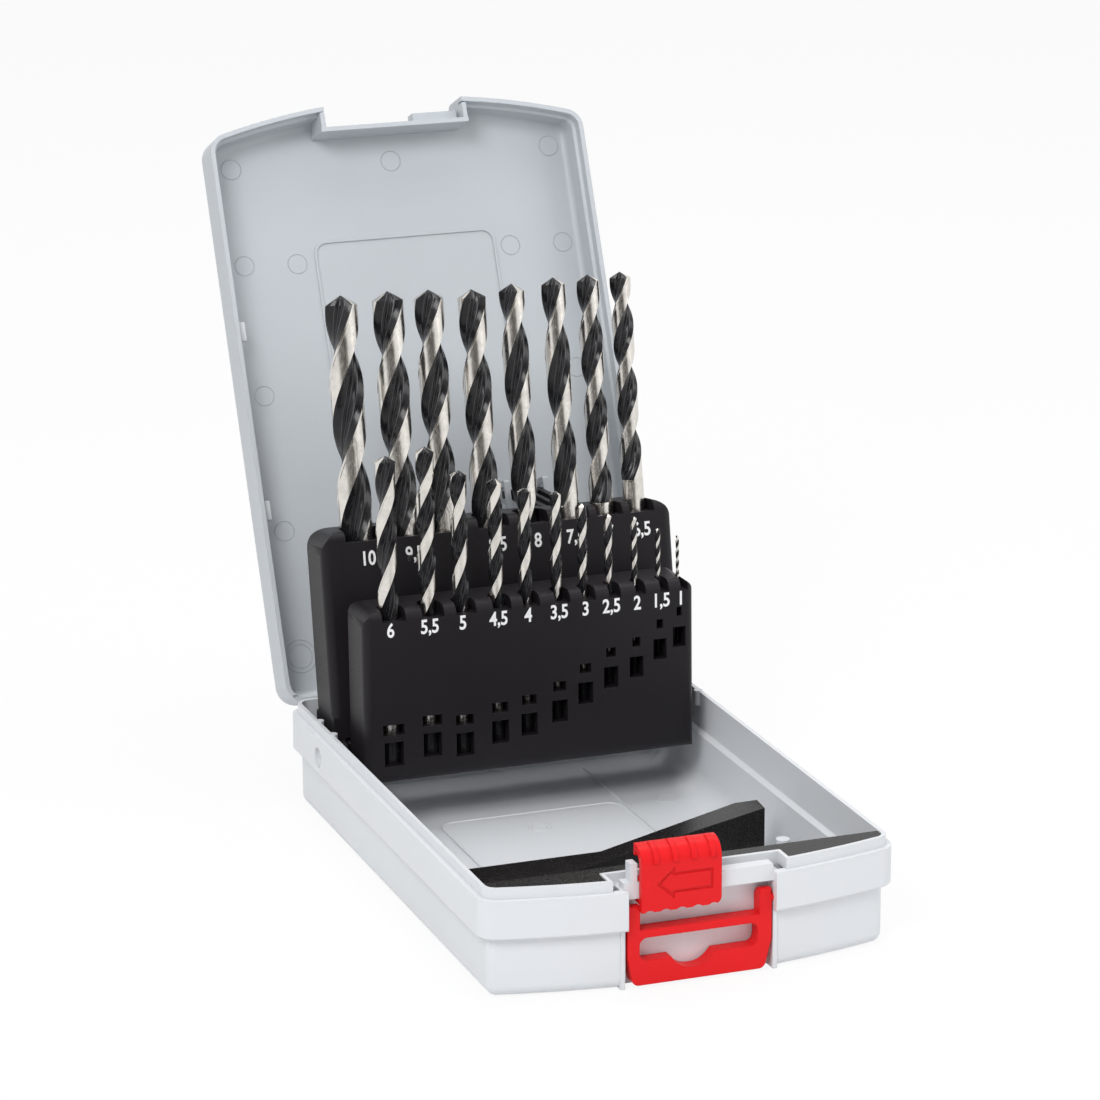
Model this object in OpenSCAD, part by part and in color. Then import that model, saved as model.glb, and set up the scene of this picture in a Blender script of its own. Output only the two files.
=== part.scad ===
// Drill bit case, standing open: a plastic tray and lid, two folding racks
// that hold nineteen twist drills, a sliding latch and a hanger.
// Origin: centre of the tray's underside. X right, Y to the hinge, Z up.
// A wall profile is a list of [inset from the outline, height] points.

/* [Case] */
// Width over the tray's upper band
case_w = 120; // [118:0.5:122]
// Front of the band at the middle of its bow, from the origin
front_y = 94.6; // [94:0.1:95]
// Back of the band, from the origin
back_y = 86.6; // [86:0.1:87]
// Radius of the bowed front in plan
bow_r = 211; // [205:1:220]
// Radius of the upright corners
corner_r = 6; // [5.9:0.1:7]
// Height of the ledge that the lid closes on
ledge_z = 28.3; // [28:0.1:28.6]
// Height of the tongue inside the lid
tongue_z = 31.3; // [31:0.1:31.6]
// Underside of the upper band
band_z = 17.3; // [16:0.1:18]
// Height of the closed case
closed_z = 42.3; // [42:0.1:43]
// Thickness of the tray's floor
floor_t = 2.4; // [2:0.1:2.6]
// Angle that the lid opens to
lid_angle = 114; // [110:1:118]

/* [Notch] */
// Left end of the notch for the latch
notch_x0 = -21; // [-22:0.5:-20]
// Right end of the notch
notch_x1 = 21.5; // [21:0.5:22]
// Front face of the recess behind the hanger
recess_y = -86.8; // [-87:0.1:-86.6]

/* [Racks] */
// Height of the racks' common pivot
pivot_z = 22.5; // [22:0.1:23]
// Place of the pivot behind the origin
pivot_y = 57; // [56:0.5:58]
// Lean of the front rack when open
front_lean = 1.3; // [1:0.1:2]
// Lean of the rear rack when open
rear_lean = 10; // [9:0.5:11]
// Half width of the front rack
front_half_w = 51.1; // [50.5:0.1:51.3]
// Half width of the rear rack
rear_half_w = 54.8; // [54:0.1:55]

/* [Drills] */
// Radial slack of a drill in its hole
hole_slack = 0.2; // [0.1:0.05:0.3]
// Pitch of the flutes in drill diameters
pitch_d = 6.3; // [5:0.1:8]

/* [Latch] */
// Width of the slide
slide_w = 22.9; // [22:0.1:24]
// Left end of the slide when the latch is open
slide_x0 = -17.4; // [-17.5:0.1:-17]
// Thickness of the hanger
hanger_t = 4.2; // [4:0.1:4.2]

/* [Hidden] */

half_w = case_w / 2;
bow_y = bow_r - front_y;
corner_x = half_w - corner_r;
corner_y = bow_y - sqrt(pow(bow_r - corner_r, 2) - pow(corner_x, 2));
bow_half_angle = asin(corner_x / (bow_r - corner_r));

// Facets of the outline's corners and of its bow
corner_sides = 8;
bow_sides = 20;

// The wall's insets from the outline of the band
body_inset = 2.6;
tongue_out = 1.6;
tongue_in = 2.8;
inner_inset = 4.4;
step_z = 20.2;

// The lid's hinge
hinge_y = 86.8;
hinge_z = 29.5;
knuckle_r = 2.2;
knuckle_gap = 0.4;
hinge_pin_r = 1;
running = 0.05;
// Middles of the two hinges, and half the length of each lid knuckle
hinge_x = [-34, 34];
lid_knuckle = 4.5;
base_knuckle = 4.5;

// The notch: back of the rail above the ledge, and the tongue's turned-in ends beside it
rail_back = -87.4;
end_in = 3.7;
end_out = 4.8;

// The hanger's stubs
hanger_pivot_y = -90.2;
hanger_pivot_z = 20.6;
stub_r = 1.25;

// The racks' pivot pins
pivot_r = 2;
pivot_head_r = 3;
pivot_x0 = 48;
pivot_x1 = 58.6;
lug_r = 4.2;
lug_t = 2.8;

// Rear and front faces of the racks, from the pivot towards the back
front_rack_t = [-19, -2];
front_rack_s = [-4.5, 47.5];
rear_rack_t = [-1.4, 15.6];
rear_rack_s = [-1, 65.5];
ear_s = -5.5;
front_drill_t = -13.5;
mouth_depth = 3.4;
rear_drill_t = 5.3;

// Drills: [diameter, length, flute length, place along the rack, height of the shank's end]
REAR_DRILLS = [[10, 133, 87, -41.7, 0.7], [9.5, 125, 81, -27.4, 8.8], [9, 125, 81, -14.8, 8.2],
               [8.5, 117, 75, -1.5, 15.2], [8, 117, 75, 11.1, 15.8], [7.5, 109, 69, 24.2, 24.6],
               [7, 109, 69, 35.1, 24.6], [6.5, 101, 63, 45.4, 32.6]];
FRONT_DRILLS = [[6, 93, 57, -41.8, -0.8], [5.5, 93, 57, -29.9, 0.8], [5, 86, 52, -19.8, -0.2],
                [4.5, 80, 47, -8.8, 2.3], [4, 75, 43, 0.3, 3.6], [3.5, 70, 39, 9.9, 6.6],
                [3, 61, 33, 18.1, 11.2], [2.5, 53, 28, 26.2, 15.2], [2, 49, 24, 34.3, 17.5],
                [1.5, 40, 18, 41.8, 22.2], [1, 34, 12, 48, 25.4]];

// The link's ends: on the rear rack [along, behind], and in the closed lid [y, z]
link_s = 62.5;
link_t = 13.3;
link_lid_y = 30;
link_lid_z = 35.8;
link_x0 = 21;
link_x1 = 31;
link_eye_r = 2.4;
link_pin_r = 1.2;
link_half_t = 1.4;
fork_t = 1.8;

shell_white = [0.87, 0.885, 0.9];
lid_grey = [0.77, 0.795, 0.81];
rack_black = [0.15, 0.14, 0.145];
latch_red = [0.88, 0.12, 0.13];
steel = [0.78, 0.76, 0.73];

// ---- shared shapes ------------------------------------------------------

// Points of an arc about c
function arc(c, r, a0, a1, n) =
    [for (i = [0 : n]) let (a = a0 + (a1 - a0) * i / n) c + r * [cos(a), sin(a)]];

// The case's outline in plan, drawn in by d
function outline(d) =
    let (r = corner_r - d, a = 270 + bow_half_angle, step = 2 * bow_half_angle / bow_sides)
    concat(arc([corner_x, back_y - corner_r], r, 0, 90, corner_sides),
           arc([-corner_x, back_y - corner_r], r, 90, 180, corner_sides),
           arc([-corner_x, corner_y], r, 180, 540 - a, corner_sides),
           arc([0, bow_y], bow_r - d, 540 - a + step, a - step, bow_sides - 2),
           arc([corner_x, corner_y], r, a, 360, corner_sides));

// A solid through the outline at each [inset, height], from the bottom up
module loft(levels) {
    rings = [for (l = levels) [for (p = outline(l[0])) [p[0], p[1], l[1]]]];
    n = len(rings[0]);
    last = len(rings) - 1;
    walls = [for (k = [0 : last - 1], i = [0 : n - 1], h = [0, 1])
        let (j = (i + 1) % n, p = k * n, q = p + n)
        h == 0 ? [p + i, q + i, q + j] : [p + i, q + j, p + j]];
    cap = [for (i = [0 : n - 1]) i];
    lid = [for (i = [n - 1 : -1 : 0]) last * n + i];
    polyhedron(points = [for (ring = rings, p = ring) p], faces = concat(walls, [cap], [lid]),
               convexity = 6);
}

// A rectangle with round corners
module round_rect(x0, y0, x1, y1, r) {
    translate([x0 + r, y0]) square([x1 - x0 - 2 * r, y1 - y0]);
    translate([x0, y0 + r]) square([x1 - x0, y1 - y0 - 2 * r]);
    for (x = [x0 + r, x1 - r], y = [y0 + r, y1 - r]) translate([x, y]) circle(r, $fn = 48);
}

// A box between two corners
module span(a, b) {
    translate(a) cube(b - a);
}

// A cylinder along X between x0 and x1 about [y, z]
module bar(r, x0, x1, y, z) {
    translate([x0, y, z]) rotate([0, 90, 0]) cylinder(r = r, h = x1 - x0, $fn = 48);
}

// A profile in Y and Z carried along X
module across(x0, x1) {
    translate([x0, 0, 0]) rotate([90, 0, 90]) linear_extrude(x1 - x0) children();
}

// ---- tray ---------------------------------------------------------------

tray_outside = concat(
    arc([body_inset + 3.1, 3.1], 3.1, 270, 180, 5),
    [[body_inset, band_z - 0.4], [0.4, band_z], [0, band_z + 0.4], [0, ledge_z],
     [tongue_out, ledge_z], [tongue_out, tongue_z]]);
tray_inside = [[inner_inset + 1.4, floor_t], [inner_inset + 0.5, floor_t + 0.8],
               [inner_inset, floor_t + 2.2], [inner_inset, step_z - 0.9],
               [tongue_in, step_z], [tongue_in, tongue_z + 5]];

module tray_floor() {
    // Round fillets along the floor's sides
    for (side = [0, 1]) mirror([side, 0, 0])
        translate([0, 74, 0]) rotate([90, 0, 0]) linear_extrude(148)
            polygon(concat([[half_w - inner_inset + 0.4, 8.5], [half_w - inner_inset + 0.4, 1],
                            [49.5, 1]],
                           arc([49.5, 8.5], 6.1, 270, 360, 8)));
    // Raised panel and the step along its right
    translate([0, 0, floor_t - 0.4]) linear_extrude(0.9) round_rect(-28.5, -38, 28.4, 42, 5);
    span([29.2, -74, floor_t - 0.4], [30.2, 74, floor_t + 0.5]);
}

module tray_notch_cut() {
    span([notch_x0, -100, -1], [notch_x1, recess_y, 60]);
    span([notch_x0, -100, ledge_z], [notch_x1, -82.7, 60]);
}

module tray_notch_walls() {
    span([notch_x0 - 2, recess_y, 0], [notch_x1 + 2, recess_y + 2.2, ledge_z]);
    span([notch_x0 - end_out, -85.3, 20], [notch_x1 + end_out, -84.1, tongue_z]);
    span([notch_x0 - 1.4, -91, 0], [notch_x0 - 0.1, recess_y + 1, ledge_z]);
    span([notch_x1 + 0.1, -91, 0], [notch_x1 + 1.4, recess_y + 1, ledge_z]);
    // Rail that the latch slides on, and its left stop
    span([notch_x0 - 0.6, -91.2, 25.5], [notch_x1 + 0.6, recess_y + 0.2, ledge_z]);
    span([notch_x0 - 0.6, -91.2, 25.5], [notch_x1 - 0.1, rail_back, 30.2]);
    span([notch_x0 + 1.3, -91.2, 25.5], [notch_x0 + 3.3, rail_back, 35.4]);
    // Turned-in ends of the tongue
    for (x = [notch_x0 - end_out, notch_x1 + end_in])
        span([x, -91.3, ledge_z - 0.5], [x + end_out - end_in, -84.1, tongue_z]);
}

module base_knuckles(side) {
    ends = [[-lid_knuckle - knuckle_gap - base_knuckle, -lid_knuckle - knuckle_gap],
            [lid_knuckle + knuckle_gap, lid_knuckle + knuckle_gap + base_knuckle]];
    for (e = ends) {
        bar(knuckle_r, side + e[0], side + e[1], hinge_y, hinge_z);
        across(side + e[0], side + e[1])
            polygon([[back_y - 1.5, 20], [back_y - 0.2, 20], [hinge_y + knuckle_r - 0.1, hinge_z - 0.4],
                     [hinge_y, hinge_z], [back_y - 1.5, ledge_z - 0.5]]);
    }
}

module base_tray() {
    color(shell_white) difference() {
        union() {
            difference() {
                union() {
                    difference() {
                        loft(tray_outside);
                        loft(tray_inside);
                    }
                    tray_floor();
                }
                tray_notch_cut();
                // Tongue cut back beside the notch, where the lid's wall turns in
                for (x = [[notch_x0 - end_in, notch_x0 + 1], [notch_x1 - 1, notch_x1 + end_in]])
                    span([x[0], -100, ledge_z], [x[1], -85.3, 60]);
            }
            tray_notch_walls();
            for (x = hinge_x) base_knuckles(x);
            // Post beside the insert and snap lugs near the racks' pivots
            translate([44.7, -43.5, 1]) cylinder(r = 2, h = 17, $fn = 32);
            for (side = [-1, 1], y = [50.5, 63.5])
                translate([side * (half_w - tongue_in), y, 27]) cylinder(r = 1.3, h = 4.6, $fn = 32);
        }
        // Room for the lid's knuckles, and the hinge pins
        for (x = hinge_x) {
            bar(knuckle_r + 0.4, x - lid_knuckle - 0.3, x + lid_knuckle + 0.3, hinge_y, hinge_z);
            bar(hinge_pin_r, x - 9, x + 9, hinge_y, hinge_z);
        }
        // Seats of the racks' pivot pins
        for (side = [0, 1]) mirror([side, 0, 0]) {
            bar(pivot_r, 50, half_w - 0.5, pivot_y, pivot_z);
            bar(pivot_head_r, pivot_x1, half_w + 1, pivot_y, pivot_z);
        }
        // Sockets of the hanger's stubs
        for (x = [notch_x0 - 1.2, notch_x1 - 1])
            bar(stub_r + running, x, x + 2.2, hanger_pivot_y, hanger_pivot_z);
    }
}

// ---- lid, drawn closed and then opened ----------------------------------

lid_outside = concat([[0, ledge_z + 0.1]], arc([3, closed_z - 3], 3, 180, 90, 5));
lid_inside = concat(
    [[tongue_out - 0.2, ledge_z - 5], [tongue_out - 0.2, tongue_z + 0.3], [2.4, tongue_z + 0.9]],
    arc([4.4, closed_z - 4], 2, 180, 90, 4));

module lid_fork() {
    for (x = [link_x0 - 2.2, link_x1 + 2.2 - fork_t])
        difference() {
            across(x, x + fork_t) round_rect(25.8, 32.9, 35.6, closed_z - 1.5, 1);
            across(x - 1, x + fork_t + 1) round_rect(27.6, 33.8, 33.7, closed_z - 2.5, 1.4);
        }
}

module lid_closed() {
    difference() {
        union() {
            difference() {
                loft(lid_outside);
                loft(lid_inside);
                span([-22.8, -100, 0], [21.5, -87, 60]);
                // The back's rim clears the tray's tongue as the lid turns
                span([-58, back_y - 2.2, 20], [58, back_y + 1, 29]);
            }
            span([-24.4, -87, ledge_z + 0.1], [23.1, -85.6, closed_z - 0.6]);
            for (x = [-24.2, 21.5]) span([x, -91.6, ledge_z + 0.1], [x + 1.4, -86.5, closed_z - 2.4]);
            // Tab that the latch holds down
            span([6.2, -90, 31.8], [20.5, -86.6, 36.4]);
            // Raised panel on the inside, as a shallow frame
            difference() {
                translate([0, 0, closed_z - 2.4]) linear_extrude(1) round_rect(-28.6, -54.2, 30, 44, 4);
                translate([0, 0, closed_z - 3]) linear_extrude(2) round_rect(-27.8, -53.4, 29.2, 43.2, 3.4);
            }
            lid_fork();
            for (x = hinge_x) bar(knuckle_r, x - lid_knuckle, x + lid_knuckle, hinge_y, hinge_z);
        }
        for (x = hinge_x) {
            bar(hinge_pin_r + running, x - lid_knuckle - 1, x + lid_knuckle + 1, hinge_y, hinge_z);
            for (e = [-1, 1])
                bar(knuckle_r + 0.4, x + e * 7.15 - 2.65, x + e * 7.15 + 2.65, hinge_y, hinge_z);
        }
    }
}

// Turns a closed piece about the hinge to the open pose
module opened() {
    translate([0, hinge_y, hinge_z]) rotate([-lid_angle, 0, 0]) translate([0, -hinge_y, -hinge_z])
        children();
}

module lid_shell() {
    color(lid_grey) opened() lid_closed();
}

module hinge_pin_left() {
    color(steel) bar(hinge_pin_r, hinge_x[0] - 9, hinge_x[0] + 9, hinge_y, hinge_z);
}

module hinge_pin_right() {
    color(steel) bar(hinge_pin_r, hinge_x[1] - 9, hinge_x[1] + 9, hinge_y, hinge_z);
}

// ---- racks, drawn upright about their pivot -----------------------------

module leaned(lean) {
    translate([0, pivot_y, pivot_z]) rotate([-lean, 0, 0]) children();
}

// A block with round upright corners, a round top edge and round top corners
module rack_block(half, t, s, top_r) {
    intersection() {
        translate([0, 0, s[0] - 1]) linear_extrude(s[1] - s[0] + 2)
            round_rect(-half, t[0], half, t[1], 2.6);
        across(-half - 1, half + 1) round_rect(t[0], s[0], t[1], s[1], 3);
        translate([0, t[1] + 1, 0]) rotate([90, 0, 0]) linear_extrude(t[1] - t[0] + 2) union() {
            round_rect(-half, s[0], half, s[1], top_r);
            translate([-half, s[0]]) square([2 * half, 20]);
        }
    }
}

// Holes for a row of drills, open at the top, with mouths notched to the front
module drill_holes(drills, t, front, top) {
    for (d = drills) {
        half = 0.5 * d[0] + 0.6;
        translate([d[3], t, d[4]])
            cylinder(r = d[0] / 2 + hole_slack, h = top - d[4] + 1, $fn = d[0] > 4 ? 48 : 24);
        span([d[3] - half, front - 1, top - mouth_depth], [d[3] + half, t, top + 1]);
    }
}

// Windows that show each shank and its end
module shank_windows() {
    for (d = FRONT_DRILLS) {
        x = d[3] - 1.9 + 0.18 * d[0];
        lower = 1.8 + 0.18 * d[0];
        upper = 0.25 + 0.5 * d[0];
        span([x - lower, front_rack_t[0] - 1, d[4] + 1.6],
             [x + lower, front_drill_t, d[4] + 7.4 + 0.25 * d[0]]);
        span([x - upper, front_rack_t[0] - 1, d[4] + 11],
             [x + upper, front_drill_t, d[4] + 13.6 + 0.1 * d[0]]);
    }
}

// Cored-out cells in the back of a rack, between ribs
module back_cells(half, t, s, depth, pitch) {
    count = floor((2 * half - 8) / pitch);
    for (i = [0 : count - 1]) {
        x = (i - count / 2) * pitch;
        span([x + 0.8, t - depth, s[0]], [x + pitch - 0.8, t + 1, s[1]]);
    }
}

module front_rack() {
    color(rack_black) leaned(front_lean) difference() {
        rack_block(front_half_w, front_rack_t, front_rack_s, 5);
        drill_holes(FRONT_DRILLS, front_drill_t, front_rack_t[0], front_rack_s[1]);
        shank_windows();
        back_cells(46, front_rack_t[1], [4, 43], 4.5, 21);
        for (side = [0, 1]) mirror([side, 0, 0]) bar(pivot_r + running, 45, 60, 0, 0);
    }
}

// Ear on the front rack's back that turns on a pivot pin
module front_lug() {
    color(rack_black) leaned(front_lean) difference() {
        bar(lug_r, front_half_w - lug_t, front_half_w, 0, 0);
        span([45, -lug_r - 1, -lug_r - 1], [60, front_rack_t[1], lug_r + 1]);
        bar(pivot_r + running, 45, 60, 0, 0);
    }
}

module front_lug_left() {
    mirror([1, 0, 0]) front_lug();
}

module front_lug_right() {
    front_lug();
}

module rear_rack() {
    color(rack_black) leaned(rear_lean) difference() {
        union() {
            rack_block(rear_half_w, rear_rack_t, rear_rack_s, 7);
            for (side = [0, 1]) mirror([side, 0, 0]) {
                across(51.6, rear_half_w) round_rect(rear_rack_t[0], ear_s, rear_rack_t[1], 12, 1.5);
                bar(4.4, 51.6, rear_half_w, 0, 0);
            }
        }
        drill_holes(REAR_DRILLS, rear_drill_t, rear_rack_t[0], rear_rack_s[1]);
        // Pocket for the link and the lid's fork
        span([link_x0 - 3.6, 9.8, 20], [link_x1 + 3.6, 20, 70]);
        back_cells(17.5, rear_rack_t[1], [6, 16], 3, 8.6);
        for (x = [-49, -37.5, -23, -10.5, 3])
            span([x, rear_rack_t[1] - 3, 6], [x + 9, 20, 60]);
        span([37, rear_rack_t[1] - 3, 6], [46, 20, 58]);
        for (side = [0, 1]) mirror([side, 0, 0]) {
            // Room for the front rack's lugs
            bar(lug_r + 0.8, front_half_w - lug_t - 0.5, front_half_w + 0.4, 0, 0);
            bar(pivot_r + running, 45, 60, 0, 0);
        }
        bar(link_pin_r, link_x0 - 6, link_x1 + 6, link_t, link_s);
    }
}

module rack_pivot_left() {
    color(rack_black) bar(pivot_r, -pivot_x1, -pivot_x0, pivot_y, pivot_z);
}

module rack_pivot_right() {
    color(rack_black) bar(pivot_r, pivot_x0, pivot_x1, pivot_y, pivot_z);
}

// ---- link between the rear rack and the lid -----------------------------

// A point of a rack in the open pose, and a point of the closed lid once opened
function rack_point(s, t, lean) =
    [pivot_y + s * sin(lean) + t * cos(lean), pivot_z + s * cos(lean) - t * sin(lean)];
function lid_point(y, z) =
    let (a = y - hinge_y, b = z - hinge_z)
    [hinge_y + a * cos(lid_angle) + b * sin(lid_angle),
     hinge_z - a * sin(lid_angle) + b * cos(lid_angle)];

link_a = rack_point(link_s, link_t, rear_lean);
link_b = lid_point(link_lid_y, link_lid_z);
link_len = norm(link_b - link_a);
link_turn = atan2(link_b[1] - link_a[1], link_b[0] - link_a[0]);

module link_arm() {
    color(rack_black) translate([0, link_a[0], link_a[1]]) rotate([link_turn, 0, 0])
        difference() {
            union() {
                bar(link_eye_r, link_x0, link_x1, 0, 0);
                across(link_x0, link_x1)
                    translate([0, -link_half_t]) square([link_len, 2 * link_half_t]);
                bar(link_half_t, link_x0, link_x1, link_len, 0);
                bar(link_pin_r, link_x0 - 2, link_x1 + 2, link_len, 0);
            }
            bar(link_pin_r + running, link_x0 - 1, link_x1 + 1, 0, 0);
            // Two long slots leave a frame with a middle rib
            for (x = [link_x0 + 1.8, link_x0 + 5.8])
                span([x, 5, -3], [x + 2.4, link_len - 5, 3]);
        }
}

module link_pin() {
    color(steel) bar(link_pin_r, link_x0 - 5.9, link_x1 + 5.9, link_a[0], link_a[1]);
}

// ---- insert in the front of the tray ------------------------------------

shelf_z = 21;
flange_z = 31;
insert_shelf = [[-54.8, -79.8], [-54.8, -42.5], [-9.6, -42.5], [40.3, -19], [47.2, -18.8],
                [46.6, -26], [-21.6, -54.1], [-31, -61], [-31, -79.8]];
insert_under = [[-53.2, -79], [-53.2, -44.1], [-10, -44.1], [40.2, -20.6], [45.5, -20.4],
                [45.1, -25.1], [-22.3, -52.8], [-32.6, -60.4], [-32.6, -79]];

module front_insert() {
    color(rack_black) {
        difference() {
            translate([0, 0, shelf_z - 14]) linear_extrude(14) polygon(insert_shelf);
            translate([0, 0, shelf_z - 15]) linear_extrude(13.4) polygon(insert_under);
        }
        // Feet that stand on the floor
        for (p = [[-47, -60], [-47, -46], [43, -22.5]])
            translate([p[0], p[1], floor_t]) cylinder(r = 2, h = shelf_z - floor_t - 1, $fn = 32);
        // Upright front wall and the flange level with the rim
        span([-48, -81, floor_t], [48, -79.5, flange_z - 0.7]);
        translate([0, 0, flange_z - 1.6]) linear_extrude(1.6) difference() {
            intersection() {
                polygon(outline(tongue_in + 0.2));
                translate([-60, -100]) square([120, 20.5]);
            }
            translate([notch_x0 - end_out - 0.2, -100])
                square([notch_x1 - notch_x0 + 2 * end_out + 0.4, 16.1]);
        }
    }
}

// ---- latch and hanger ---------------------------------------------------

module latch_slide() {
    front = -93.6;
    top = 40;
    r = 5;
    color(latch_red) difference() {
        union() {
            across(slide_x0, slide_x0 + slide_w) difference() {
                union() {
                    // Front plate, round shoulder and top plate
                    translate([front, 22]) square([2, top - 22 - r]);
                    translate([front + r, top - 2.4]) square([-87.4 - front - r, 2.4]);
                    intersection() {
                        translate([front + r, top - r]) circle(r, $fn = 64);
                        translate([front, top - r]) square([r, r]);
                    }
                    // Lips that grip the rail
                    translate([front + 1, 24]) square([4.2, 1.2]);
                    translate([front + 1, 30.5]) square([3.4, 0.9]);
                    translate([-88.9, top - 3.2]) square([1.5, 3.2]);
                }
                translate([front + r, top - r]) intersection() {
                    circle(r - 2, $fn = 64);
                    translate([-r, -1]) square([r, r + 1]);
                }
            }
            // Four grip ridges over the shoulder
            for (i = [0 : 3])
                intersection() {
                    bar(r + 0.5, slide_x0 + 3.4 + i * 5.4, slide_x0 + 5 + i * 5.4, front + r, top - r);
                    span([slide_x0, front - 1, top - r + 0.6], [slide_x0 + slide_w, front + r, top + 1]);
                    span([slide_x0, front - 1, 20], [slide_x0 + slide_w, -87, 50]);
                }
        }
        // Hollow under the shoulder
        across(slide_x0 - 1, slide_x0 + slide_w + 1)
            translate([front + 2, 31.4]) square([2, top - r - 31.3]);
        // Scallops along the lower edge, and its round right corner
        for (i = [0 : 4])
            translate([slide_x0 + slide_w * (i + 0.5) / 5, front - 1, 20.6]) rotate([-90, 0, 0])
                cylinder(r = 1.9, h = 3.2, $fn = 32);
        translate([slide_x0 + slide_w, front + 3, 22]) rotate([90, 0, 0]) linear_extrude(4)
            difference() {
                translate([-2, -1]) square(3);
                translate([-2, 2]) circle(2, $fn = 32);
            }
        // Sunken outline of an arrow that points to the open side
        translate([0, front + 0.35, 0]) rotate([90, 0, 0]) linear_extrude(1) difference() {
            polygon([[-13, 29.6], [-8, 34], [-8, 32.4], [3, 32.4], [3, 26.8], [-8, 26.8], [-8, 25.2]]);
            polygon([[-12, 29.6], [-8.5, 32.7], [-8.5, 31.8], [2.4, 31.8], [2.4, 27.4], [-8.5, 27.4],
                     [-8.5, 26.5]]);
        }
    }
}

module hanger() {
    x0 = notch_x0 + 0.5;
    x1 = notch_x1 - 0.5;
    front = -91.4;
    back = front + hanger_t;
    arm_w = 3.5;
    bar_top = 16.4;
    arm_top = 21.9;
    dip_x = -1.6;
    color(latch_red) {
        intersection() {
            // From the front: a body that narrows downwards, two arms, and a slot with a dip
            translate([0, back, 0]) rotate([90, 0, 0]) linear_extrude(hanger_t) difference() {
                union() {
                    hull() {
                        for (x = [x0 + 3.2, x1 - 3.6]) translate([x, 2.7]) circle(2, $fn = 32);
                        translate([x0, 9]) square([x1 - x0, bar_top - 9]);
                    }
                    for (x = [x0, x1 - arm_w]) translate([x, 15]) square([arm_w, arm_top - 15]);
                }
                round_rect(x0 + 3.4, 7.6, x1 - 4, 14.1, 2.2);
                polygon([for (i = [-8 : 8]) [dip_x + 6.7 * i / 8, 4 + 4.2 * pow(abs(i / 8), 2.5)]]);
            }
            // From the side: the arms are round about the stubs and stay below the latch
            across(x0 - 1, x1 + 1) {
                translate([front, 0]) square([hanger_t, hanger_pivot_z]);
                intersection() {
                    translate([hanger_pivot_y, hanger_pivot_z])
                        circle(back - hanger_pivot_y, $fn = 64);
                    translate([front, 10]) square(20);
                }
            }
        }
        // Stubs that turn in the notch's ends
        for (x = [x0 - 1.4, x1 - 1])
            bar(stub_r, x, x + 2.4, hanger_pivot_y, hanger_pivot_z);
    }
}

// ---- drills -------------------------------------------------------------

// Radius of a fluted section at an angle: two lands and two deep flutes
function flute_r(a) = 0.43 + 0.55 * pow(abs(cos(a)), 0.55);

// One twist drill, point up, its shank's end at the origin
module twist_drill(d, length, flutes) {
    r = 0.985 * d / 2;
    sides = d > 3 ? 12 : 8;
    pitch = pitch_d * d;
    start = length - flutes;
    point = 0.3 * d;
    body = flutes - point;
    rings = ceil(body / pitch * 12);
    levels = concat([for (i = [0 : rings]) start - 0.6 + (body + 0.6) * i / rings], [length]);
    last = len(levels) - 1;
    points = [for (k = [0 : last], i = [0 : sides - 1])
        let (a = 360 * i / sides, turn = 360 * (levels[k] - start) / pitch,
             m = r * flute_r(a) * (k == last ? 0.1 : 1))
        [m * cos(a + turn), m * sin(a + turn), levels[k]]];
    walls = [for (k = [0 : last - 1], i = [0 : sides - 1], h = [0, 1])
        let (j = (i + 1) % sides, p = k * sides, q = p + sides)
        h == 0 ? [p + i, q + i, q + j] : [p + i, q + j, p + j]];
    cap = [for (i = [1 : sides - 2]) [0, i, i + 1]];
    lid = [for (i = [1 : sides - 2]) [last * sides, last * sides + i + 1, last * sides + i]];
    color(steel) union() {
        cylinder(r = d / 2, h = start, $fn = 48);
        polyhedron(points = points, faces = concat(walls, cap, lid), convexity = 4);
    }
}

module racked_drill(d, rows, t, lean) {
    for (row = rows)
        if (row[0] == d) leaned(lean) translate([row[3], t, row[4]]) twist_drill(row[0], row[1], row[2]);
}

module front_drill(d) {
    racked_drill(d, FRONT_DRILLS, front_drill_t, front_lean);
}

module rear_drill(d) {
    racked_drill(d, REAR_DRILLS, rear_drill_t, rear_lean);
}

base_tray();
lid_shell();
hinge_pin_left();
hinge_pin_right();
front_rack();
front_lug_left();
front_lug_right();
rear_rack();
rack_pivot_left();
rack_pivot_right();
link_arm();
link_pin();
front_insert();
latch_slide();
hanger();
front_drill(1);  // drill_1_0
front_drill(1.5);  // drill_1_5
front_drill(2);  // drill_2_0
front_drill(2.5);  // drill_2_5
front_drill(3);  // drill_3_0
front_drill(3.5);  // drill_3_5
front_drill(4);  // drill_4_0
front_drill(4.5);  // drill_4_5
front_drill(5);  // drill_5_0
front_drill(5.5);  // drill_5_5
front_drill(6);  // drill_6_0
rear_drill(6.5);  // drill_6_5
rear_drill(7);  // drill_7_0
rear_drill(7.5);  // drill_7_5
rear_drill(8);  // drill_8_0
rear_drill(8.5);  // drill_8_5
rear_drill(9);  // drill_9_0
rear_drill(9.5);  // drill_9_5
rear_drill(10);  // drill_10_0
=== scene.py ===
"""Dresses the drill bit case: materials, drills, size numbers, moulding marks, light and camera."""

import math

import bmesh
import bpy
from mathutils import Matrix, Vector


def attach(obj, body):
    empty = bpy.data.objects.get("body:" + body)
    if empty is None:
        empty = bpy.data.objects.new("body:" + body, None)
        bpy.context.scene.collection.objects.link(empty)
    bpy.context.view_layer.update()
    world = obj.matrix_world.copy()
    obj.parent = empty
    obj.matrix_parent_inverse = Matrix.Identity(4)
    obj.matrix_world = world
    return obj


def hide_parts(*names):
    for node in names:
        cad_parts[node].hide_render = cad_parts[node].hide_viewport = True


MM = 0.001

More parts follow.
